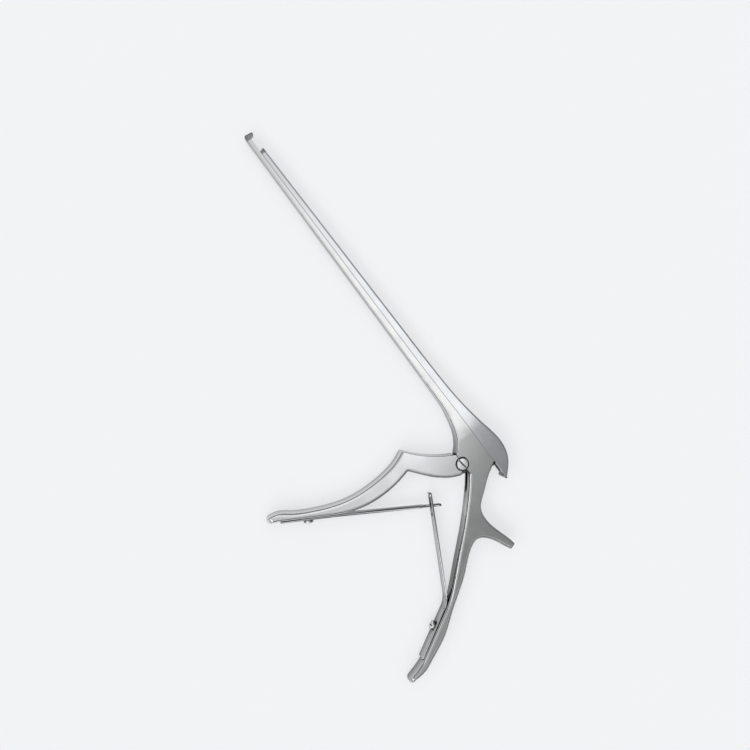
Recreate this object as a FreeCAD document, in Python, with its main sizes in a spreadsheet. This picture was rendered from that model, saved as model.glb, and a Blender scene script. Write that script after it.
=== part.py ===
import FreeCAD
import Part
import Sketcher

import math
import os

# A bone rongeur of the sliding shaft pattern, lying on its side, in millimetres.
# The pivot axis of the front handle is the middle of the drawing: X runs along the shaft to the rear, Y from the
# handles to the cutting slide, and Z is the thickness. At the end every piece is set on the resting plane Z = 0
# with the origin below the middle of the whole.

# Driving dimensions
SIZES = {
    # Lower shaft with its footplate
    "shaft_reach": 182.0,
    "seam_height": 13.1,
    "foot_height": 2.3,
    "foot_base": 2.45,
    "foot_top": 1.3,
    "foot_lean": 0.6,
    "foot_nose": 1.7,
    "foot_round": 0.75,
    "jaw_opening": 7.4,
    "shaft_width": 4.8,
    "shaft_depth_at_tip": 2.0,
    "shaft_depth_at_root": 3.6,
    "shaft_straight_end": 40.0,
    "flare_start": 55.0,
    "flare_end": 9.0,
    "body_thickness": 9.5,
    "body_corner": 8.9,
    # Cutting slide
    "slide_depth_at_tip": 2.35,
    "slide_depth_at_root": 3.95,
    "slide_straight_end": 45.0,
    "slide_gap": 0.04,
    "tail_end": 19.0,
    "tail_drop": 0.9,
    "tail_nose": 1.1,
    "tail_nose_end": -150.0,
    "tail_hollow_play": 0.15,
    "cup_depth": 1.5,
    "cup_radius": 0.85,
    # Tongue and groove between the slide and the shaft
    "guide_neck_width": 1.4,
    "guide_head_width": 2.4,
    "guide_neck_depth": 0.6,
    "guide_head_depth": 0.6,
    "guide_play": 0.06,
    "guide_front_wall": 1.2,
    "guide_setback": 1.8,
    "guide_rear_end": 30.0,
    # Pivot
    "tongue_thickness": 3.5,
    "tongue_play": 0.06,
    "tongue_radius": 4.9,
    "cheek_radius": 3.0,
    "cheek_start": 4.0,
    "cheek_end": 176.0,
    "shoulder_play": 0.3,
    "shoulder_start": -42.0,
    "shoulder_end": -181.0,
    "pivot_diameter": 4.0,
    "pivot_play": 0.03,
    "thread_diameter": 3.0,
    "thread_play": 0.02,
    "screw_head_diameter": 5.6,
    "screw_head_height": 1.1,
    "screw_head_chamfer": 0.3,
    "screw_head_dome": 0.1,
    "screw_slot_width": 0.8,
    "screw_slot_depth": 0.7,
    "screw_slot_angle": 9.0,
    "spotface_diameter": 6.1,
    "spotface_depth": 0.45,
    "spotface_chamfer": 0.35,
    # Lever and drive pin
    "pin_height": 2.3,
    "lever_end_wall": 1.2334,
    "lever_end_start": 60.0,
    "lever_end_finish": 87.0,
    "lever_root": 150.0,
    "pin_diameter": 2.0,
    "pin_play": 0.04,
    "pin_cover": 1.5,
    "stop_gap": 0.1,
    # Rounded tips of the grips, the length of their thinned ends, and where the tip arcs begin and end
    "rear_tip_radius": 0.9,
    "front_tip_radius": 1.5,
    "tip_thinning": 3.0,
    "rear_tip_enter": -8.0,
    "rear_tip_leave": -165.0,
    "front_tip_enter": -32.0,
    "front_tip_leave": -186.0,
    # Rounded edges
    "grip_round": 1.6,
    "edge_round": 0.9,
    "fine_round": 0.5,
    # Leaf springs and their screws
    "spring_thickness": 0.9,
    "spring_width": 7.0,
    "spring_tip_width": 5.4,
    "spring_tongue_width": 3.0,
    "spring_tongue_length": 8.0,
    "spring_tongue_shoulder": 2.0,
    "spring_window_play": 0.3,
    "spring_window_length": 8.0,
    "spring_end_web": 1.4,
    "rear_seat_angle": -62.0,
    "rear_seat_up": 9.6,
    "rear_seat_down": 16.0,
    "rear_bend_radius": 12.0,
    "rear_corner_shift": 3.4,
    "front_seat_angle": -122.0,
    "front_seat_up": 10.5,
    "front_seat_down": 13.0,
    "front_bend_radius": 90.0,
    "front_corner_shift": 1.0,
    "spring_screw_diameter": 2.2,
    "spring_screw_length": 2.8,
    "spring_screw_head": 4.5,
    "spring_screw_head_height": 2.1,
    "spring_screw_dome": 0.6,
    "spring_screw_play": 0.1,
    "spring_screw_slot": 0.6,
}

# Points that the outlines pass through, each an X and a Y; those of the slide's tail have their Y from the seam
POINTS = {
    "body_back": [(12.1, 7.3), (18.1, -0.7), (22.6, -5.6), (27.5, -6.8), (36.0, -5.5), (46.2, -2.9)],
    "spur_under": [(47.3, -6.2), (41.4, -8.9), (36.2, -11.9), (33.4, -16.2), (34.8, -20.6)],
    "rear_grip_back": [(42.6, -30.6), (52.9, -46.0), (60.4, -57.0), (65.2, -68.0)],
    "rear_tip": [(66.3, -81.7)],
    "rear_grip_front": [(46.6, -43.1), (37.0, -32.1), (27.8, -21.6), (15.3, -8.6), (4.7, 0.4)],
    "body_front": [(-5.1, 0.45), (-5.7, 0.8), (-9.2, 4.0), (-14.0, 6.5), (-21.0, 8.25)],
    "mortise_front": [(-8.1, 8.5), (-6.7, 3.9), (-5.2, 0.2)],
    "mortise_back": [(15.2, -9.6), (11.4, -3.6), (9.2, 2.5), (9.5, 7.0), (12.6, 10.4)],
    "lever_back": [(5.5, 2.6), (8.2, 8.2), (10.8, 11.7), (9.9, 14.2)],
    "lever_front": [(0.0, 16.9), (-0.9, 13.5), (-3.4, 6.5)],
    "tongue_side": [(5.1, -1.2), (4.1, -3.2), (2.0, -6.0), (-4.0, -5.0)],
    "tail_top": [(-28.0, 4.4), (-9.0, 6.85), (5.0, 8.45), (12.6, 5.9), (16.9, 2.2)],
    "tail_hollow": [(-3.0, 3.5), (-1.2, 5.65), (8.0, 5.65), (12.0, 3.6), (16.0, -0.1)],
    "arm_right": [(4.2, -3.4), (0.9, -9.9), (-5.6, -16.6), (-13.3, -22.6)],
    "front_grip_inner": [(-13.4, -50.0), (-11.6, -38.0), (-11.9, -30.0)],
    "front_tip": [(-35.5, -86.7)],
    "front_grip_outer": [(-35.6, -81.3), (-32.1, -76.6), (-27.5, -69.2), (-23.7, -61.5), (-20.3, -51.2),
                         (-19.1, -37.5), (-20.8, -24.4), (-22.8, -19.6)],
    "arm_left": [(-22.3, -18.6), (-12.9, -10.2), (-6.0, -0.7), (-5.2, 0.2)],
    "front_screw": [(-25.1, -72.2)],
    "front_spring_end": [(9.9, -19.5)],
    "rear_screw": [(54.6, -56.9)],
    "rear_spring_end": [(2.1, -20.3)],
}

# Longer than the whole object, for cuts that run right through
FAR = 300.0

# How far two cuts or two pads of one piece run into each other
OVERLAP = 0.1

doc = FreeCAD.newDocument("BoneRongeur")


def fill_sheet():
    """Write every driving dimension into the spreadsheet, each in a cell with its own alias."""
    new_sheet = doc.addObject("Spreadsheet::Sheet", "Sizes")
    cells = dict(SIZES)
    for name, points in POINTS.items():
        for number, (x, y) in enumerate(points, start=1):
            cells[f"{name}_{number}_x"] = x
            cells[f"{name}_{number}_y"] = y
    for row, (alias, value) in enumerate(cells.items(), start=1):
        new_sheet.set(f"A{row}", alias)
        new_sheet.set(f"B{row}", str(value))
        new_sheet.setAlias(f"B{row}", alias)
    doc.recompute()
    return new_sheet


sheet = fill_sheet()


def size(alias):
    """A driving dimension as it stands in the spreadsheet."""
    return float(sheet.get(alias))


def at(x, y):
    return FreeCAD.Vector(x, y, 0)


def spot(name, number=1):
    """One outline point from the spreadsheet."""
    return at(size(f"{name}_{number}_x"), size(f"{name}_{number}_y"))


def spots(name, base=0.0):
    """All points of one outline, in order, with their Y counted from a base line."""
    return [spot(name, number) + at(0, base) for number in range(1, len(POINTS[name]) + 1)]


def line(start, end):
    return Part.LineSegment(start, end)


def chain(points, closed=True):
    """Straight lines from each point to the next."""
    ends = points[1:] + points[:1] * closed
    return [line(start, end) for start, end in zip(points, ends)]


def polar(radius, degrees):
    """A point at a distance from the pivot axis, in a direction counted from the X axis."""
    return at(radius * math.cos(math.radians(degrees)), radius * math.sin(math.radians(degrees)))


def arc(radius, first, last):
    """An arc about the pivot axis from one direction to another."""
    return Part.Arc(polar(radius, first), polar(radius, (first + last) / 2), polar(radius, last))


def dome(radius, height):
    """A point halfway out on a shallow dome: its distance from the axis, and how far it lies below the crown."""
    ball = (radius ** 2 + height ** 2) / (2 * height)
    return radius / 2, ball - math.sqrt(ball ** 2 - radius ** 2 / 4)


def smooth(points, start=None, end=None):
    """A smooth curve through points, with its direction at either end where that is given."""
    curve = Part.BSplineCurve()
    if start is None and end is None:
        curve.interpolate(points)
        return curve
    inner = [at(0, 0)] * (len(points) - 2)
    curve.interpolate(
        Points=points,
        Tangents=[start or at(0, 0)] + inner + [end or at(0, 0)],
        TangentFlags=[start is not None] + [False] * len(inner) + [end is not None],
    )
    return curve


def unit(vector):
    return vector / vector.Length


def grip_tip(side):
    """The round end of a grip: its arc, and where and in which direction the outline enters and leaves it."""
    centre, radius = spot(side + "_tip"), size(side + "_tip_radius")
    enter, leave = size(side + "_tip_enter"), size(side + "_tip_leave")
    ends = [centre + polar(radius, angle) for angle in (enter, (enter + leave) / 2, leave)]
    return Part.Arc(*ends), ends[0], polar(1, enter - 90), ends[2], polar(1, leave - 90)


def new_body(name):
    body = doc.addObject("PartDesign::Body", name)
    body.Label = name
    return body


def add_sketch(body, name, role, curves, lift=None):
    """A sketch on one of the body's own origin planes, lifted off it by an expression where one is given."""
    sketch = body.newObject("Sketcher::SketchObject", name)
    plane = next(item for item in body.Origin.OriginFeatures if item.Role == role)
    sketch.AttachmentSupport = (plane, [""])
    sketch.MapMode = "FlatFace"
    if lift:
        sketch.setExpression(".AttachmentOffset.Base.z", lift)
    sketch.addGeometry(curves, False)
    return sketch


def extrude(body, kind, name, curves, length, role="XY_Plane"):
    """Pad or pocket a profile to both sides of its plane, over a whole length given by an expression."""
    feature = body.newObject("PartDesign::" + kind, name)
    feature.Profile = add_sketch(body, name + "Sketch", role, curves)
    feature.SideType = "Symmetric"
    feature.setExpression("Length", length)
    doc.recompute()
    return feature


def size_of(expression):
    """The value that an expression has now."""
    return float(sheet.evalExpression(expression.replace("Sizes.", "")))


def round_sketch(body, name, centre, diameter, lift):
    """A sketch with one circle whose diameter and place are constraints bound to the spreadsheet."""
    sketch = add_sketch(body, name + "Sketch", "XY_Plane", [], lift)
    sketch.addGeometry(Part.Circle(centre, FreeCAD.Vector(0, 0, 1), 1), False)
    sketch.addConstraint(Sketcher.Constraint("Diameter", 0, size_of(diameter)))
    sketch.setExpression("Constraints[0]", diameter)
    sketch.addConstraint(Sketcher.Constraint("DistanceX", -1, 1, 0, 3, centre.x))
    sketch.addConstraint(Sketcher.Constraint("DistanceY", -1, 1, 0, 3, centre.y))
    return sketch


def cylinder(body, kind, name, centre, diameter, lift, length):
    """A round pad or a round pocket that rises from a height along Z."""
    feature = body.newObject("PartDesign::" + kind, name)
    feature.Profile = round_sketch(body, name, centre, diameter, lift)
    feature.Reversed = kind == "Pocket"
    feature.setExpression("Length", length)
    doc.recompute()
    return feature


def spin(body, kind, name, role, curves, axis_start, axis_end):
    """Revolve a half profile once round a line in its own plane."""
    sketch = add_sketch(body, name + "Sketch", role, curves)
    sketch.addGeometry(line(axis_start, axis_end), True)
    feature = body.newObject("PartDesign::" + kind, name)
    feature.Profile = sketch
    feature.ReferenceAxis = (sketch, ["Axis0"])
    feature.Angle = 360
    doc.recompute()
    return feature


def middle_of(edge):
    first, last = edge.ParameterRange
    return edge.valueAt((first + last) / 2)


def beside(curves, slack=0.05):
    """A test for edges that run along one of the curves, seen along Z, above or below the middle plane."""
    shapes = [curve.toShape() for curve in curves]

    def test(edge):
        middle = middle_of(edge)
        point = Part.Vertex(at(middle.x, middle.y))
        return abs(middle.z) > 1 and any(shape.distToShape(point)[0] < slack for shape in shapes)

    return test


def upright(point, slack=0.05):
    """A test for edges that stand along Z at a point."""

    def test(edge):
        middle = middle_of(edge)
        return abs(middle.z) < 0.01 and at(middle.x, middle.y).distanceToPoint(point) < slack

    return test


def round_edges(body, name, radius, chosen):
    """Fillet the edges of the body as it stands for which the test holds."""
    base = body.Tip
    names = [f"Edge{number}" for number, edge in enumerate(base.Shape.Edges, start=1) if chosen(edge)]
    fillet = body.newObject("PartDesign::Fillet", name)
    fillet.Base = (base, names)
    fillet.setExpression("Radius", radius)
    doc.recompute()
    return fillet


class Seat:
    """The flat face inside a handle that its leaf spring is screwed to."""

    def __init__(self, side):
        angle = math.radians(size(side + "_seat_angle"))
        turn = 1 if side == "front" else -1
        self.anchor = spot(side + "_screw")
        self.down = at(math.cos(angle), math.sin(angle))
        self.out = at(-self.down.y * turn, self.down.x * turn)
        self.upper = self.anchor - self.down * size(side + "_seat_up")
        self.lower = self.anchor + self.down * size(side + "_seat_down")

    def place(self, along, away):
        """A point on the seat, from its screw towards the tip of the handle and out from the metal."""
        return self.anchor + self.down * along + self.out * away


# Values that follow from the driving dimensions
TIP = -size("shaft_reach")
SEAM = size("seam_height")
HALF_BODY = size("body_thickness") / 2
HALF_SHAFT = size("shaft_width") / 2
TRAVEL = size("jaw_opening") - size("stop_gap")
PIN = at(TRAVEL / 2, SEAM + size("pin_height"))
LEVER_END = PIN.Length + size("pin_diameter") / 2 + size("pin_play") + size("lever_end_wall")
SWING = 2 * math.degrees(math.atan2(PIN.x, PIN.y))
FOOT_BACK = TIP + size("foot_base")
FOOT_TOP_FRONT = at(TIP + size("foot_lean"), SEAM + size("foot_height"))
FOOT_TOP_BACK = FOOT_TOP_FRONT + at(size("foot_top"), 0)
FOOT_LEAN = unit(FOOT_TOP_BACK - at(FOOT_BACK, SEAM))
SLIDE_FRONT = FOOT_BACK + size("jaw_opening")
SHAFT_ROOT = at(-size("shaft_straight_end"), SEAM - size("shaft_depth_at_root"))
SHAFT_HEEL = at(FOOT_BACK + size("guide_setback"), SEAM - size("shaft_depth_at_tip"))
HOLLOW_WIDTH = "Sizes.tongue_thickness + 2 * Sizes.tail_hollow_play"


def plan_cuts():
    """Two closed profiles, seen across the thickness, that narrow a body to its slim shaft through a flare."""
    start, end = -size("flare_start"), -size("flare_end")
    profiles = []
    for side in (1, -1):
        thin, thick, clear = side * HALF_SHAFT, side * HALF_BODY, side * 2 * HALF_BODY
        profiles.append(smooth([at(start, thin), at(end, thick)], at(1, 0), at(1, 0)))
        profiles += chain([at(end, thick), at(end, clear), at(-FAR, clear), at(-FAR, thin), at(start, thin)], False)
    return profiles


def block(left, right, low, high):
    """A rectangle from its sides."""
    return chain([at(left, low), at(right, low), at(right, high), at(left, high)])


def screw_hole(body, name, where):
    """A blind hole, square to the spring seat, for the screw of a leaf spring."""
    radius = size("spring_screw_diameter") / 2
    depth = size("spring_screw_length")
    corners = [where.place(0, -depth), where.place(radius, -depth), where.place(radius, 1), where.place(0, 1)]
    return spin(body, "Groove", name, "XY_Plane", chain(corners), where.place(0, -depth), where.place(0, 1))


def thin_tip(body, side):
    """Round the end of a grip like a tongue, seen from the side of the springs."""
    length = size("tip_thinning")
    end = spot(side + "_tip").y - size(side + "_tip_radius")
    start = end + length
    profiles = []
    for sign in (1, -1):
        flank, clear = sign * HALF_BODY, sign * 2 * HALF_BODY
        middle = at(start - length * math.sin(math.pi / 4), flank * math.cos(math.pi / 4))
        profiles.append(smooth([at(start, flank), middle, at(end, 0)], at(-1, 0), at(0, -sign)))
        profiles += chain([at(end, 0), at(end - length, 0), at(end - length, clear), at(start, clear),
                           at(start, flank)], False)
    extrude(body, "Pocket", "TipEnd", profiles, str(2 * FAR), "YZ_Plane")


def spotface():
    """The round seat of the pivot screw's head: its height above the middle plane, its radius and its chamfer."""
    return HALF_BODY - size("spotface_depth"), size("spotface_diameter") / 2, size("spotface_chamfer")


def fixed_handle():
    """One forging: the lower shaft with its footplate, the slotted body, the finger spur and the rear handle."""
    body = new_body("fixed_handle")
    where = Seat("rear")
    cheek = size("cheek_radius")
    cheek_back, cheek_front = polar(cheek, size("cheek_start")), polar(cheek, size("cheek_end"))
    corner = at(size("body_corner"), SEAM)
    foot_nose = at(TIP, SEAM - size("foot_nose"))
    foot_front = line(foot_nose, FOOT_TOP_FRONT)
    back = smooth([corner] + spots("body_back"))
    tip, tip_start, tip_way_in, tip_end, tip_way_out = grip_tip("rear")
    under = smooth(spots("spur_under") + spots("rear_grip_back") + [tip_start], None, tip_way_in)
    hook = smooth([tip_end, where.lower], tip_way_out, where.down * -1)
    flat = line(where.lower, where.upper)
    front = smooth([where.upper] + spots("rear_grip_front"), where.down * -1, None)
    belly = smooth(spots("body_front")[1:] + [SHAFT_ROOT], None, unit(SHAFT_HEEL - SHAFT_ROOT))
    underside = line(SHAFT_ROOT, SHAFT_HEEL)
    outline = [
        back,
        line(spots("body_back")[-1], spot("spur_under")),
        under,
        tip,
        hook,
        flat,
        front,
        line(spots("rear_grip_front")[-1], cheek_back),
        Part.Arc(cheek_back, polar(cheek, -90), cheek_front),
        line(cheek_front, spot("body_front")),
        line(spot("body_front"), spot("body_front", 2)),
        belly,
        underside,
        line(SHAFT_HEEL, foot_nose),
        foot_front,
    ]
    outline += chain([FOOT_TOP_FRONT, FOOT_TOP_BACK, at(FOOT_BACK, SEAM), corner], False)
    extrude(body, "Pad", "Forging", outline, "Sizes.body_thickness")
    extrude(body, "Pocket", "ShaftWidth", plan_cuts(), str(2 * FAR), "XZ_Plane")
    round_edges(body, "GripRounds", "Sizes.grip_round", beside([under]))
    round_edges(body, "BackRounds", "Sizes.edge_round", beside([back]))
    round_edges(body, "UndersideRounds", "Sizes.edge_round", beside([belly, underside]))
    round_edges(body, "FootRounds", "Sizes.foot_round", beside([foot_front]))
    thin_tip(body, "rear")

    slot_back, slot_front = spots("mortise_back"), spots("mortise_front")
    mortise = [smooth(slot_back)]
    mortise += chain([slot_back[-1], at(slot_back[-1].x, 2 * SEAM), at(slot_front[0].x, 2 * SEAM)] + slot_front
                     + [at(slot_front[-1].x, slot_back[0].y), slot_back[0]], False)
    extrude(body, "Pocket", "Mortise", mortise, "Sizes.tongue_thickness + 2 * Sizes.tongue_play")

    groove_front = FOOT_BACK + size("guide_front_wall")
    groove_back = spot("mortise_front").x + 1
    neck = SEAM - size("guide_neck_depth")
    floor = neck - size("guide_head_depth") - size("guide_play")
    extrude(body, "Pocket", "GuideNeck", block(groove_front, groove_back, neck - OVERLAP, SEAM + OVERLAP),
            "Sizes.guide_neck_width + 2 * Sizes.guide_play")
    extrude(body, "Pocket", "GuideHead", block(groove_front, groove_back, floor, neck),
            "Sizes.guide_head_width + 2 * Sizes.guide_play")

    cylinder(body, "Pocket", "PivotBore", at(0, 0), "Sizes.pivot_diameter + 2 * Sizes.pivot_play", "0",
             "Sizes.body_thickness")
    cylinder(body, "Pocket", "ThreadBore", at(0, 0), "Sizes.thread_diameter", "-Sizes.body_thickness",
             "Sizes.body_thickness")
    seat, rim, chamfer = spotface()
    profile = chain([at(0, seat), at(rim, seat), at(rim, HALF_BODY - chamfer),
                     at(rim + chamfer * 2, HALF_BODY + chamfer), at(0, HALF_BODY + chamfer)])
    spin(body, "Groove", "Spotface", "XZ_Plane", profile, at(0, seat), at(0, HALF_BODY))
    screw_hole(body, "SpringScrewHole", where)
    return body


def cutting_slide():
    """The upper shaft: it runs forward in the shaft's groove until its cupped front meets the footplate."""
    body = new_body("cutting_slide")
    base = SEAM + size("slide_gap")
    front_low = at(SLIDE_FRONT, SEAM) + FOOT_LEAN * size("slide_gap")
    front_top = at(SLIDE_FRONT, SEAM) + FOOT_LEAN * size("slide_depth_at_tip")
    root = at(-size("slide_straight_end"), SEAM + size("slide_depth_at_root"))
    nose, nose_end = size("tail_nose"), size("tail_nose_end")
    centre = at(size("tail_end") - nose, SEAM - size("tail_drop") + nose)
    tail_tip, tail_low = [centre + polar(nose, angle) for angle in (0, nose_end)]
    nose_way = polar(1, nose_end - 90)
    tail_heel = tail_low + nose_way * ((base - tail_low.y) / nose_way.y)
    ridge = line(front_top, root)
    hump = smooth([root] + spots("tail_top", SEAM) + [tail_tip], unit(root - front_top), None)
    outline = [ridge, hump, Part.Arc(tail_tip, centre + polar(nose, nose_end / 2), tail_low)]
    outline += chain([tail_low, tail_heel, front_low, front_top], False)
    extrude(body, "Pad", "Bar", outline, "Sizes.body_thickness")
    extrude(body, "Pocket", "ShaftWidth", plan_cuts(), str(2 * FAR), "XZ_Plane")
    round_edges(body, "TopRounds", "Sizes.edge_round", beside([ridge, hump]))

    hollow = spots("tail_hollow", SEAM)
    opening = [at(hollow[-1].x, base - 1), at(hollow[0].x, base - 1)]
    extrude(body, "Pocket", "LeverHollow", chain(hollow + opening), HOLLOW_WIDTH)

    rail_front = SLIDE_FRONT + size("guide_setback")
    rail_back = -size("guide_rear_end")
    neck = SEAM - size("guide_neck_depth") - size("guide_play")
    sole = neck - size("guide_head_depth") + size("guide_play")
    extrude(body, "Pad", "RailNeck", block(rail_front, rail_back, neck - OVERLAP, base + OVERLAP),
            "Sizes.guide_neck_width")
    extrude(body, "Pad", "RailHead", block(rail_front, rail_back, sole, neck), "Sizes.guide_head_width")

    middle = SEAM + (size("slide_depth_at_tip") + size("slide_gap")) / 2
    radius, depth = size("cup_radius"), size("cup_depth")
    rim = at(SLIDE_FRONT - depth, middle)
    floor = at(SLIDE_FRONT + depth, middle)
    shoulder = floor - at(depth / 2, -radius * math.cos(math.pi / 6))
    cup = [smooth([rim + at(0, radius), shoulder, floor], None, at(0, -1))]
    cup += chain([floor, rim, rim + at(0, radius)], False)
    spin(body, "Groove", "Cup", "XY_Plane", cup, rim, floor)

    cylinder(body, "Pocket", "PinHole", PIN, "Sizes.pin_diameter", "-Sizes.body_thickness / 2",
             "Sizes.body_thickness - Sizes.pin_cover")
    return body


def front_handle():
    """The moving handle: a grip and a stepped arm, with a thin tongue and lever that work in the mortise."""
    body = new_body("front_handle")
    where = Seat("front")
    relief = size("cheek_radius") + size("shoulder_play")
    relief_start, relief_end = size("shoulder_start"), size("shoulder_end")
    flat = line(where.lower, where.upper)
    inner = smooth([where.upper] + spots("front_grip_inner") + [spots("arm_right")[-1]], where.down * -1, None)
    right = smooth(spots("arm_right")[::-1])
    tip, tip_start, tip_way_in, tip_end, tip_way_out = grip_tip("front")
    hook = smooth([where.lower, tip_start], where.down, tip_way_in)
    outer = smooth([tip_end] + spots("front_grip_outer"), tip_way_out, None)
    left = smooth(spots("arm_left")[:3])
    outline = [
        flat,
        inner,
        right,
        line(spot("arm_right"), polar(relief, relief_start)),
        arc(relief, relief_start, relief_end),
        line(polar(relief, relief_end), spot("arm_left", 4)),
        line(spot("arm_left", 4), spot("arm_left", 3)),
        left,
        line(spot("arm_left"), spots("front_grip_outer")[-1]),
        outer,
        tip,
        hook,
    ]
    extrude(body, "Pad", "Arm", outline, "Sizes.body_thickness")
    round_edges(body, "ElbowRound", "Sizes.edge_round", upright(spots("arm_right")[-1]))
    round_edges(body, "GripRounds", "Sizes.grip_round", beside([outer]))
    round_edges(body, "LeftRounds", "Sizes.fine_round", beside([left]))
    thin_tip(body, "front")

    top, disc = LEVER_END, size("tongue_radius")
    top_start, top_finish, root = size("lever_end_start"), size("lever_end_finish"), size("lever_root")
    side = spots("tongue_side")
    lever_back = smooth([side[0]] + spots("lever_back") + [polar(top, top_start)])
    lever_front = smooth([polar(top, top_finish)] + spots("lever_front") + [polar(disc, root)])
    tongue = [lever_back, arc(top, top_start, top_finish), lever_front, arc(disc, root, 180)]
    tongue += chain([polar(disc, 180)] + side[::-1], False)
    extrude(body, "Pad", "Tongue", tongue, "Sizes.tongue_thickness")

    cylinder(body, "Pocket", "PivotBore", at(0, 0), "Sizes.pivot_diameter + 2 * Sizes.pivot_play",
             "-Sizes.body_thickness", "2 * Sizes.body_thickness")
    radial = unit(PIN)
    across = at(-radial.y, radial.x) * (size("pin_diameter") / 2 + size("pin_play"))
    cap = radial * across.Length
    near, far = radial * PIN.y, PIN
    slot = [
        line(near + across, far + across),
        Part.Arc(far + across, far + cap, far - across),
        line(far - across, near - across),
        Part.Arc(near - across, near - cap, near + across),
    ]
    extrude(body, "Pocket", "PinSlot", slot, "Sizes.body_thickness")
    screw_hole(body, "SpringScrewHole", where)
    return body


def pivot_screw():
    """A slotted shoulder screw, with its head in the spotface and its thread in the lower cheek."""
    body = new_body("pivot_screw")
    seat_height = spotface()[0]
    top = seat_height + size("screw_head_height")
    head, chamfer = size("screw_head_diameter") / 2, size("screw_head_chamfer")
    shoulder = size("pivot_diameter") / 2
    thread = size("thread_diameter") / 2 - size("thread_play")
    ledge = -size("tongue_thickness") / 2 - size("tongue_play")
    flat = head - chamfer
    edge = at(flat, top - size("screw_head_dome"))
    crown = at(0, top)
    halfway, drop = dome(flat, size("screw_head_dome"))
    half = [Part.Arc(crown, at(halfway, top - drop), edge)]
    half += chain([edge, at(head, edge.y - chamfer), at(head, seat_height), at(shoulder, seat_height),
                   at(shoulder, ledge), at(thread, ledge), at(thread, -HALF_BODY + size("stop_gap")),
                   at(0, -HALF_BODY + size("stop_gap")), crown], False)
    spin(body, "Revolution", "Turned", "XZ_Plane", half, at(0, -HALF_BODY), crown)
    along = at(math.cos(math.radians(size("screw_slot_angle"))), math.sin(math.radians(size("screw_slot_angle"))))
    across = at(-along.y, along.x) * (size("screw_slot_width") / 2)
    reach = along * head * 2
    sketch = add_sketch(body, "SlotSketch", "XY_Plane",
                        chain([reach + across, across - reach, across * -1 - reach, reach - across]),
                        "Sizes.body_thickness / 2 - Sizes.spotface_depth + Sizes.screw_head_height"
                        " - Sizes.screw_slot_depth")
    slot = body.newObject("PartDesign::Pocket", "Slot")
    slot.Profile = sketch
    slot.Reversed = True
    slot.setExpression("Length", "Sizes.screw_head_height")
    doc.recompute()
    return body


def drive_pin():
    """The pin in the slide's tail that the lever pushes and pulls."""
    body = new_body("drive_pin")
    cylinder(body, "Pad", "Pin", PIN, "Sizes.pin_diameter", "-Sizes.body_thickness / 2 + Sizes.stop_gap",
             "Sizes.body_thickness - Sizes.pin_cover - 2 * Sizes.stop_gap")
    return body


def strip(start, corner, end, radius):
    """The side profile of a leaf spring: two straight runs joined by a bend, one thickness wide."""
    first, last = unit(corner - start), unit(end - corner)
    turn = 1 if first.x * last.y - first.y * last.x > 0 else -1
    bend = radius * math.tan(first.getAngle(last) / 2)
    normals = [at(-way.y, way.x) * turn for way in (first, last)]
    centre = corner - first * bend + normals[0] * radius
    inward = unit(corner - centre)
    sides = []
    for offset in (-size("spring_thickness") / 2, size("spring_thickness") / 2):
        shifts = [normal * -offset for normal in normals]
        enter, leave = corner - first * bend + shifts[0], corner + last * bend + shifts[1]
        bow = centre + inward * (radius + offset)
        sides.append((start + shifts[0], enter, bow, leave, end + shifts[1]))
    near, far = sides
    curves = []
    for begin, enter, bow, leave, finish in sides:
        curves += [line(begin, enter), Part.Arc(enter, bow, leave), line(leave, finish)]
    return curves + [line(near[0], far[0]), line(near[4], far[4])]


def spring_body(side, name, half_widths):
    """A leaf spring on its seat, as wide as the seat at the screw and narrower towards its free end."""
    body = new_body(name)
    where = Seat(side)
    lift = where.out * (size("spring_thickness") / 2)
    start, corner = where.lower + lift, where.upper + lift - where.down * size(side + "_corner_shift")
    end = spot(side + "_spring_end")
    extrude(body, "Pad", "Strip", strip(start, corner, end, size(side + "_bend_radius")), "Sizes.spring_width")
    wide, clear = size("spring_width") / 2, size("spring_width")
    beyond = end.x * 2 - start.x
    profiles = []
    for sign in (1, -1):
        edge = [at(corner.x, sign * wide)]
        edge += [at(x, sign * half) for x, half in half_widths(corner, end)]
        edge += [at(beyond, edge[-1].y), at(beyond, sign * clear), at(corner.x, sign * clear)]
        profiles += chain(edge)
    extrude(body, "Pocket", "Taper", profiles, str(2 * FAR), "XZ_Plane")
    radius = size("spring_screw_diameter") / 2 + size("spring_screw_play")
    corners = [where.place(0, -1), where.place(radius, -1), where.place(radius, 2), where.place(0, 2)]
    spin(body, "Groove", "ScrewHole", "XY_Plane", chain(corners), where.place(0, -1), where.place(0, 2))
    return body


def front_leaf_spring():
    """The leaf spring of the front handle, with a narrow tongue that passes through the rear spring."""

    def half_widths(corner, end):
        way = unit(end - corner)
        step = end - way * size("spring_tongue_length")
        shoulder = step - way * size("spring_tongue_shoulder")
        return [(shoulder.x, size("spring_tip_width") / 2), (step.x, size("spring_tongue_width") / 2)]

    return spring_body("front", "front_leaf_spring", half_widths)


def rear_leaf_spring():
    """The leaf spring of the rear handle, with a window near its free end for the front spring's tongue."""

    def half_widths(corner, end):
        return [(end.x, size("spring_tip_width") / 2)]

    body = spring_body("rear", "rear_leaf_spring", half_widths)
    first = spot("rear_spring_end").x + size("spring_end_web")
    half = size("spring_tongue_width") / 2 + size("spring_window_play")
    window = block(first, first + size("spring_window_length"), -half, half)
    extrude(body, "Pocket", "Window", window, str(2 * FAR), "XZ_Plane")
    return body


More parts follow.
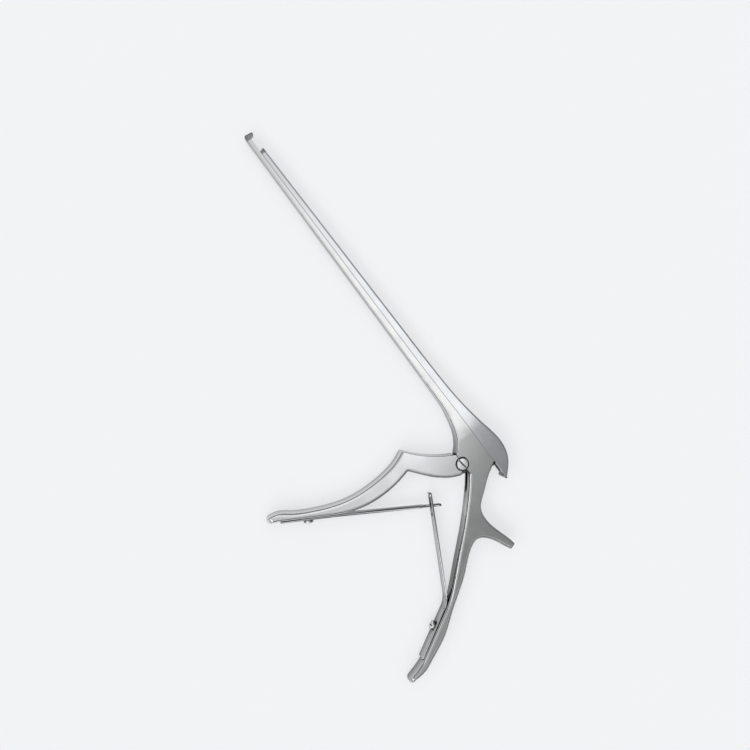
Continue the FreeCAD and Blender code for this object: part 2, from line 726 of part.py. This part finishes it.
def spring_screw(side, name):
    """A slotted screw with a low domed head that holds a leaf spring to its handle."""
    body = new_body(name)
    where = Seat(side)
    thickness = size("spring_thickness")
    head = size("spring_screw_head") / 2
    height = size("spring_screw_head_height")
    crown_height = size("spring_screw_dome")
    shank = size("spring_screw_diameter") / 2 - size("thread_play")
    depth = size("spring_screw_length") - size("stop_gap")
    crown = where.place(0, thickness + height)
    edge = where.place(head, thickness + height - crown_height)
    halfway, drop = dome(head, crown_height)
    half = [Part.Arc(crown, where.place(halfway, thickness + height - drop), edge)]
    half += chain([edge, where.place(head, thickness), where.place(shank, thickness), where.place(shank, -depth),
                   where.place(0, -depth), crown], False)
    spin(body, "Revolution", "Turned", "XY_Plane", half, where.place(0, -depth), crown)
    slot = size("spring_screw_slot")
    corners = [where.place(x, thickness + height + y) for x, y in
               ((-slot / 2, -slot), (slot / 2, -slot), (slot / 2, slot), (-slot / 2, slot))]
    extrude(body, "Pocket", "Slot", chain(corners), str(2 * FAR))
    return body


def check(bodies):
    """Stop where any object of the document failed or a piece is not one sound solid."""
    for item in doc.Objects:
        if {"Invalid", "Error"} & set(item.State):
            raise RuntimeError(f"{item.Name} failed: {item.State}")
    for body in bodies:
        shape = body.Shape
        if shape.isNull() or not shape.isValid() or len(shape.Solids) != 1:
            raise RuntimeError(f"{body.Label} is not one sound solid")


def place_and_write(bodies):
    """Set the origin below the middle of the whole, on the resting plane, and write each piece to its file."""
    whole = FreeCAD.BoundBox()
    for body in bodies:
        whole.add(body.Shape.optimalBoundingBox(False, False))
    shift = FreeCAD.Vector(-whole.Center.x, -whole.Center.y, -whole.ZMin)
    print(f"Overall size {whole.XLength:.2f} x {whole.YLength:.2f} x {whole.ZLength:.2f} mm")
    print(f"Pivot at X {shift.x:.3f}, Y {shift.y:.3f}, middle plane at Z {shift.z:.3f} mm")
    print(f"Slide travel {TRAVEL:.2f} mm for {SWING:.3f} degrees of the handle")
    os.makedirs("parts", exist_ok=True)
    for body in bodies:
        body.Placement = FreeCAD.Placement(shift, FreeCAD.Rotation())
    doc.recompute()
    check(bodies)
    for body in bodies:
        body.Shape.exportStep(f"parts/{body.Label}.step")


pieces = [
    fixed_handle(),
    cutting_slide(),
    front_handle(),
    pivot_screw(),
    drive_pin(),
    front_leaf_spring(),
    rear_leaf_spring(),
    spring_screw("front", "front_spring_screw"),
    spring_screw("rear", "rear_spring_screw"),
]
check(pieces)
place_and_write(pieces)
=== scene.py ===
import math

import bmesh
import bpy
from mathutils import Matrix, Vector


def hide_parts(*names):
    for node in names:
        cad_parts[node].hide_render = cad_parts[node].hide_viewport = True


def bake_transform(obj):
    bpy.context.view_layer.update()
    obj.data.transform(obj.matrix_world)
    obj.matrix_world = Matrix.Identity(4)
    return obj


# A satin steel bone rongeur lying on its side on a pale table, seen from above. Lengths are in metres, in the
# frame of the model: X along the shaft to the rear handle, Y from the handles to the cutting slide, and Z up
# from the table.
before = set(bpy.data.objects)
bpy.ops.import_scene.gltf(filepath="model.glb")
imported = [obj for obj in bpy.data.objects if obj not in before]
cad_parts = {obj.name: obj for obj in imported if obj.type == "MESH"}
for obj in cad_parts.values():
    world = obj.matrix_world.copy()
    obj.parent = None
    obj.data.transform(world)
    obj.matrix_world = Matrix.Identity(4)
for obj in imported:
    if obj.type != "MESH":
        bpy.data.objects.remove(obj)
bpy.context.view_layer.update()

MM = 0.001

# The pivot of the front handle, from which the places on the handles are counted
PIVOT = Vector((57.160, 33.267, 4.75)) * MM

# Camera: where it stands, the point that it looks at, and how far the shaft is turned in the picture
CAMERA_PLACE = PIVOT + Vector((-96.536, -48.834, 390.58)) * MM
CAMERA_TARGET = PIVOT + Vector((-57.956, -6.454, -4.5)) * MM
SHAFT_TURN = math.radians(-52.45)
SENSOR = 36.0
LENS = 40.257

# Table: its colour, how much it glows for the eye and in the metal, and half its width in metres
TABLE_COLOUR = (0.37, 0.377, 0.38)
TABLE_GLOW = 0.645
TABLE_SIZE = 6.0

# Room: its colour and the strengths of its ceiling, walls, horizon and window
ROOM_COLOUR = (0.975, 0.985, 1.0)
CEILING_STRENGTH = 1.64
WALL_STRENGTH = 0.20
HORIZON_STRENGTH = 1.05
WINDOW_STRENGTH = 1.8

# Between which heights of a direction the horizon gives way to the walls, the walls to the ceiling and the
# window begins, and between which values of Y the window ends
WALL_FOOT = (0.0, 0.10)
WALL_TOP = (0.50, 0.78)
WINDOW_SILL = (0.50, 0.62)
WINDOW_SIDE = (-0.58, -0.42)

# The ceiling's dimmer parts: the share of light that each has, and between which values of X it fades in.
# The dark part above the body leans, so that it is counted along X and a little along Y.
FRONT_SHARE = 0.56
FRONT_FADE = (-0.24, 0.0)
BODY_SHARE = 0.03
BODY_LEAN = 0.5
BODY_FADE = (0.235, 0.315)

# The dimmer parts above the grips and beyond the slide, which fade in along Y
GRIP_SHARE = 0.36
GRIP_FADE = (-0.03, 0.10)
SLIDE_SHARE = 0.40
SLIDE_FADE = (0.20, 0.45)

# The light that is added again far out over the footplate, and behind the body, where it falls off once more
FAR_SHARE = 0.30
FAR_FADE = (-0.60, -0.40)
BACK_SHARE = 0.31
BACK_FADE = (0.33, 0.43)
BACK_REST = 0.22
BACK_END = (0.48, 0.62)

# Fine rounding of the sharp edges: its width on the forgings and on the small parts, its steps, and the least
# angle of an edge that is rounded
EDGE_ROUND = 0.12 * MM
SMALL_ROUND = EDGE_ROUND / 2
ROUND_STEPS = 3
EDGE_ANGLE = math.radians(32)

# Joining of the faces: how far a face may bend and still be joined, the gap that is closed, and how much the
# large faces count in the shading
FLAT_ANGLE = math.radians(0.1)
MERGE = 0.002 * MM
FACE_WEIGHT = 100

# Noise in the steel: the scale of the fine grain, of the clouds of polish and of the smears, the stretch of
# the smears and of even noise, and how much detail the noise has
GRAIN_SCALE = 4500.0
CLOUD_SCALE = 90.0
SMEAR_SCALE = 260.0
SMEAR_STRETCH = (0.6, 1.6, 1.0)
EVEN = (1.0, 1.0, 1.0)
DETAIL = 3.0
GRAIN_DETAIL = 4.0

# The darker tone of the clouds and smears: how dark it is, and how the noise is spread between the two tones
DARK_SHARE = 0.86
CLOUD_TONE = (0.0, 0.75)
SMEAR_TONE = (-0.2, 0.55)
SMEAR_SHARE = 0.5
BLACK = (0.0, 0.0, 0.0, 1.0)

# How far the clouds and the grain change the roughness, and how strong and deep the grain is
CLOUD_ROUGHNESS = 0.05
GRAIN_ROUGHNESS = 0.04
GRAIN_STRENGTH = 0.25
GRAIN_DEPTH = 0.02 * MM

# Painted shade in the joints, in the corners and on the sides near the table: how far it reaches, how it is
# sampled, between which shares of open air it fades, how much of it there is and how dark it is
PAINTED_SHADE_REACH = 15.0 * MM
PAINTED_SHADE_SAMPLES = 8
PAINTED_SHADE_FADE = (0.45, 0.97)
PAINTED_SHADE_SHARE = 0.95
PAINTED_SHADE_TONE = 0.05

# Painted shade on the front ends of the footplate and the slide, which are finished by grinding:
# where along X each begins, how soon it sets in and how dark it is
FOOT_SHADED_END = PIVOT.x - 178.6 * MM
SLIDE_SHADED_END = PIVOT.x - 170.2 * MM
END_SHADE_BLEND = 0.8 * MM
END_SHADE_SHARE = 0.62

# Leaf springs: where each leaves its handle, where the two cross, the length of one step between the cuts
# across a spring, and how near a cut a corner has to be to be taken as lying on it
REAR_BEND = PIVOT + Vector((47.6, -44.6, 0)) * MM
FRONT_BEND = PIVOT + Vector((-19.6, -65.4, 0)) * MM
CROSSING = PIVOT + Vector((7.1, -23.2, 0)) * MM
SPRING_STEP = 1.0 * MM
CUT_MERGE = MERGE / 10

# The steels: colour, roughness, stretch of the grain, how far the grain is turned and where the painted shade
# of the end begins
SHAFT_GRAIN = (0.04, 1.0, 1.0)
STEELS = {
    "shaft_steel": {
        "colour": (0.56, 0.563, 0.556),
        "roughness": 0.17,
        "grain": SHAFT_GRAIN,
        "shaded_end": FOOT_SHADED_END,
    },
    # Painted reflection: the slide's steel has a faint blue tint for the bluish light reflected near the tip
    "slide_steel": {
        "colour": (0.545, 0.555, 0.565),
        "roughness": 0.17,
        "grain": SHAFT_GRAIN,
        "shaded_end": SLIDE_SHADED_END,
    },
    # Painted light: the front handle's steel is a brighter copy of the same steel, for the brighter light on
    # that handle
    "lit_handle_steel": {
        "colour": (0.70, 0.708, 0.71),
        "roughness": 0.17,
        "grain": (0.08, 1.0, 1.0),
        "turn": math.radians(55),
    },
    "spring_metal": {"colour": (0.56, 0.568, 0.575), "roughness": 0.18},
    "screw_metal": {"colour": (0.85, 0.85, 0.85), "roughness": 0.34},
}

# The steel and the rounding of each rigid piece
FINISHES = {
    "fixed_handle": ("shaft_steel", EDGE_ROUND),
    "cutting_slide": ("slide_steel", EDGE_ROUND),
    "front_handle": ("lit_handle_steel", EDGE_ROUND),
    "pivot_screw": ("screw_metal", SMALL_ROUND),
    "drive_pin": ("screw_metal", SMALL_ROUND),
    "front_spring_screw": ("screw_metal", SMALL_ROUND),
    "rear_spring_screw": ("screw_metal", SMALL_ROUND),
}


class Nodes:
    """A small helper that adds shader nodes to one tree and links them as it goes."""

    def __init__(self, tree):
        self.tree = tree
        tree.nodes.clear()

    def add(self, kind, inputs=None, **settings):
        node = self.tree.nodes.new("ShaderNode" + kind)
        for name, value in settings.items():
            setattr(node, name, value)
        for name, value in (inputs or {}).items():
            self.feed(node.inputs[name], value)
        return node

    def feed(self, socket, value):
        if isinstance(value, bpy.types.NodeSocket):
            self.tree.links.new(value, socket)
        else:
            socket.default_value = value

    def maths(self, operation, first, *others):
        """One operation on two values, or on more of them from left to right."""
        result = first
        for other in others:
            node = self.add("Math", operation=operation)
            self.feed(node.inputs[0], result)
            self.feed(node.inputs[1], other)
            result = node.outputs[0]
        return result

    def spread(self, value, low, high):
        """A value from 0 to 1 spread over another range."""
        return self.add("MapRange", {"Value": value, "To Min": low, "To Max": high}).outputs["Result"]

    def fade(self, value, limits, low, high):
        """A smooth change from one strength to another while a value goes from one limit to the other."""
        start, end = limits
        inputs = {"Value": value, "From Min": start, "From Max": end, "To Min": low, "To Max": high}
        return self.add("MapRange", inputs, interpolation_type="SMOOTHSTEP").outputs["Result"]

    def mix(self, amount, first, second):
        node = self.add("Mix", data_type="RGBA")
        self.feed(node.inputs["Factor"], amount)
        self.feed(node.inputs["A"], first)
        self.feed(node.inputs["B"], second)
        return node.outputs["Result"]

    def noise(self, place, stretch, scale, detail=DETAIL):
        """Smooth noise on the piece, stretched along its axes."""
        mapping = self.add("Mapping", {"Vector": place, "Scale": stretch})
        inputs = {"Vector": mapping.outputs["Vector"], "Scale": scale, "Detail": detail}
        return self.add("TexNoise", inputs).outputs["Fac"]


def toned(colour, share):
    """A darker tone of a colour, as a shader takes it."""
    return [channel * share for channel in colour] + [1.0]


def steel(name, colour, roughness, turn=0.0, grain=EVEN, shaded_end=None):
    """Satin steel: a fine grain that runs along the piece, cloudy patches of polish, faint darker smears,
    and painted shade in the joints, in the corners and on the sides near the table. The front end of a piece,
    finished by grinding, can be darkened with painted shade."""
    material = bpy.data.materials.new(name)
    material.use_nodes = True
    nodes = Nodes(material.node_tree)
    place = nodes.add("TexCoord").outputs["Object"]
    turned = nodes.add("Mapping", {"Vector": place, "Rotation": (0.0, 0.0, turn)}).outputs["Vector"]
    fine = nodes.noise(turned, grain, GRAIN_SCALE, GRAIN_DETAIL)
    clouds = nodes.noise(turned, EVEN, CLOUD_SCALE)
    smears = nodes.noise(turned, SMEAR_STRETCH, SMEAR_SCALE)
    dark = toned(colour, DARK_SHARE)
    tone = nodes.mix(nodes.spread(clouds, *CLOUD_TONE), toned(colour, 1.0), dark)
    tone = nodes.mix(nodes.maths("MULTIPLY", nodes.spread(smears, *SMEAR_TONE), SMEAR_SHARE), tone, dark)
    # Painted shade: a darker tone where the open air around the surface is blocked, in joints, corners and
    # near the table
    open_air = nodes.add("AmbientOcclusion", {"Distance": PAINTED_SHADE_REACH}, samples=PAINTED_SHADE_SAMPLES).outputs["AO"]
    painted_shade = nodes.fade(open_air, PAINTED_SHADE_FADE, PAINTED_SHADE_SHARE, 0.0)
    tone = nodes.mix(painted_shade, tone, toned(colour, PAINTED_SHADE_TONE))
    # Painted shade: the steel in front of this place along X is darkened towards black
    if shaded_end is not None:
        along = nodes.add("SeparateXYZ", {"Vector": place}).outputs["X"]
        end_shade = nodes.fade(along, (shaded_end - END_SHADE_BLEND, shaded_end), END_SHADE_SHARE, 0.0)
        tone = nodes.mix(end_shade, tone, BLACK)
    rough = nodes.maths("ADD", nodes.spread(clouds, roughness - CLOUD_ROUGHNESS, roughness + CLOUD_ROUGHNESS),
                        nodes.spread(fine, -GRAIN_ROUGHNESS, GRAIN_ROUGHNESS))
    bump = nodes.add("Bump", {"Height": fine, "Strength": GRAIN_STRENGTH, "Distance": GRAIN_DEPTH})
    shader = nodes.add("BsdfPrincipled", {
        "Base Color": tone,
        "Metallic": 1.0,
        "Roughness": rough,
        "Normal": bump.outputs["Normal"],
    })
    nodes.add("OutputMaterial", {"Surface": shader.outputs["BSDF"]})
    return material


def set_camera():
    """The camera looks down at the table a little from the side, and the shaft leans over in the picture."""
    data = bpy.data.cameras.new("camera")
    data.sensor_width = SENSOR
    data.lens = LENS
    camera = bpy.data.objects.new("camera", data)
    bpy.context.scene.collection.objects.link(camera)
    ahead = (CAMERA_TARGET - CAMERA_PLACE).normalized()
    upward = Vector((math.sin(SHAFT_TURN), math.cos(SHAFT_TURN), 0.0))
    right = ahead.cross(upward).normalized()
    turned = Matrix((right, right.cross(ahead), -ahead)).transposed()
    camera.matrix_world = Matrix.Translation(CAMERA_PLACE) @ turned.to_4x4()
    bpy.context.scene.camera = camera


def lay_table():
    """A wide pale table under the instrument, which shows nearly white and keeps a faint shadow."""
    mesh = bpy.data.meshes.new("table")
    shape = bmesh.new()
    bmesh.ops.create_grid(shape, x_segments=1, y_segments=1, size=TABLE_SIZE)
    shape.to_mesh(mesh)
    shape.free()
    table = bpy.data.objects.new("table", mesh)
    bpy.context.scene.collection.objects.link(table)
    material = bpy.data.materials.new("pale_table")
    material.use_nodes = True
    nodes = Nodes(material.node_tree)
    cloth = nodes.add("BsdfDiffuse", {"Color": (*TABLE_COLOUR, 1.0)})
    rays = nodes.add("LightPath").outputs
    seen = nodes.maths("MAXIMUM", rays["Is Camera Ray"], rays["Is Glossy Ray"], rays["Is Transmission Ray"])
    strength = nodes.maths("MULTIPLY", seen, TABLE_GLOW)
    glow = nodes.add("Emission", {"Color": (*ROOM_COLOUR, 1.0), "Strength": strength})
    whole = nodes.add("AddShader")
    nodes.feed(whole.inputs[0], cloth.outputs["BSDF"])
    nodes.feed(whole.inputs[1], glow.outputs["Emission"])
    nodes.add("OutputMaterial", {"Surface": whole.outputs["Shader"]})
    mesh.materials.append(material)


def light_room():
    """The room that lights the scene and shows in the metal: a pale horizon, dark walls, a bright ceiling
    with dimmer parts, and a brighter window high on the side of the handles."""
    world = bpy.data.worlds.new("studio")
    world.use_nodes = True
    bpy.context.scene.world = world
    nodes = Nodes(world.node_tree)
    direction = nodes.add("TexCoord").outputs["Generated"]
    parts = nodes.add("SeparateXYZ", {"Vector": direction}).outputs
    along, across, height = parts["X"], parts["Y"], parts["Z"]
    foot = nodes.fade(height, WALL_FOOT, HORIZON_STRENGTH, WALL_STRENGTH)
    top = nodes.fade(height, WALL_TOP, 0.0, CEILING_STRENGTH)
    front = nodes.fade(along, FRONT_FADE, FRONT_SHARE, 1.0)
    leaning = nodes.maths("ADD", along, nodes.maths("MULTIPLY", across, BODY_LEAN))
    body = nodes.fade(leaning, BODY_FADE, 1.0, BODY_SHARE)
    grips = nodes.fade(across, GRIP_FADE, GRIP_SHARE, 1.0)
    slide = nodes.fade(across, SLIDE_FADE, 1.0, SLIDE_SHARE)
    far = nodes.fade(along, FAR_FADE, FAR_SHARE, 0.0)
    back = nodes.maths("MULTIPLY", nodes.fade(along, BACK_FADE, 0.0, 1.0),
                       nodes.fade(along, BACK_END, BACK_SHARE, BACK_REST))
    shares = nodes.maths("ADD", nodes.maths("MULTIPLY", front, body, grips), far, back)
    ceiling = nodes.maths("MULTIPLY", top, slide, shares)
    window = nodes.maths("MULTIPLY", nodes.fade(across, WINDOW_SIDE, WINDOW_STRENGTH, 0.0),
                         nodes.fade(height, WINDOW_SILL, 0.0, 1.0))
    strength = nodes.maths("ADD", foot, ceiling, window)
    shown = nodes.add("Background", {"Color": (*ROOM_COLOUR, 1.0), "Strength": strength})
    nodes.add("OutputWorld", {"Surface": shown.outputs["Background"]})


def dress(piece, material):
    """Give a piece its material and smooth its curved faces."""
    piece.data.materials.clear()
    piece.data.materials.append(material)
    for polygon in piece.data.polygons:
        polygon.use_smooth = True


def soften(piece, radius):
    """Join the model's faces, round the sharp edges a little and shade the flat faces flat."""
    weld = piece.modifiers.new("weld", "WELD")
    weld.merge_threshold = MERGE
    flat = piece.modifiers.new("flat_faces", "DECIMATE")
    flat.decimate_type = "DISSOLVE"
    flat.angle_limit = FLAT_ANGLE
    bevel = piece.modifiers.new("rounded_edges", "BEVEL")
    bevel.width = radius
    bevel.segments = ROUND_STEPS
    bevel.limit_method = "ANGLE"
    bevel.angle_limit = EDGE_ANGLE
    bevel.use_clamp_overlap = False
    normals = piece.modifiers.new("normals", "WEIGHTED_NORMAL")
    normals.keep_sharp = True
    normals.weight = FACE_WEIGHT


def blended_spring(node, bend):
    """A copy of a leaf spring that is screwed to one handle, cut across in short steps along the line from
    where it leaves its handle towards where the two springs cross. The copy is not bent, and the spring it
    comes from is hidden.
    """
    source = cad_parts[node]
    mesh = source.data.copy()
    spring = bpy.data.objects.new(node.replace("_leaf", "") + "_bent", mesh)
    bpy.context.scene.collection.objects.link(spring)
    reach = CROSSING - bend
    way = reach.normalized()
    shape = bmesh.new()
    shape.from_mesh(mesh)
    bmesh.ops.remove_doubles(shape, verts=shape.verts, dist=MERGE)
    places = [vertex.co.dot(way) for vertex in shape.verts]
    first, last = min(places), max(places)
    steps = int((last - first) / SPRING_STEP)
    for step in range(1, steps):
        cut = first + step * SPRING_STEP
        bmesh.ops.bisect_plane(shape, geom=shape.verts[:] + shape.edges[:] + shape.faces[:], dist=CUT_MERGE,
                               plane_co=way * cut, plane_no=way)
    shape.to_mesh(mesh)
    shape.free()
    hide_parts(node)
    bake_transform(spring)
    return spring


set_camera()
lay_table()
light_room()

steels = {name: steel(name, **finish) for name, finish in STEELS.items()}
for node, (finish, radius) in FINISHES.items():
    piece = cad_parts[node]
    dress(piece, steels[finish])
    soften(piece, radius)

for node, near, far, bend in (("rear_leaf_spring", "frame", "front_handle", REAR_BEND),
                              ("front_leaf_spring", "front_handle", "frame", FRONT_BEND)):
    dress(blended_spring(node, bend), steels["spring_metal"])

bpy.context.scene.view_settings.view_transform = "Standard"
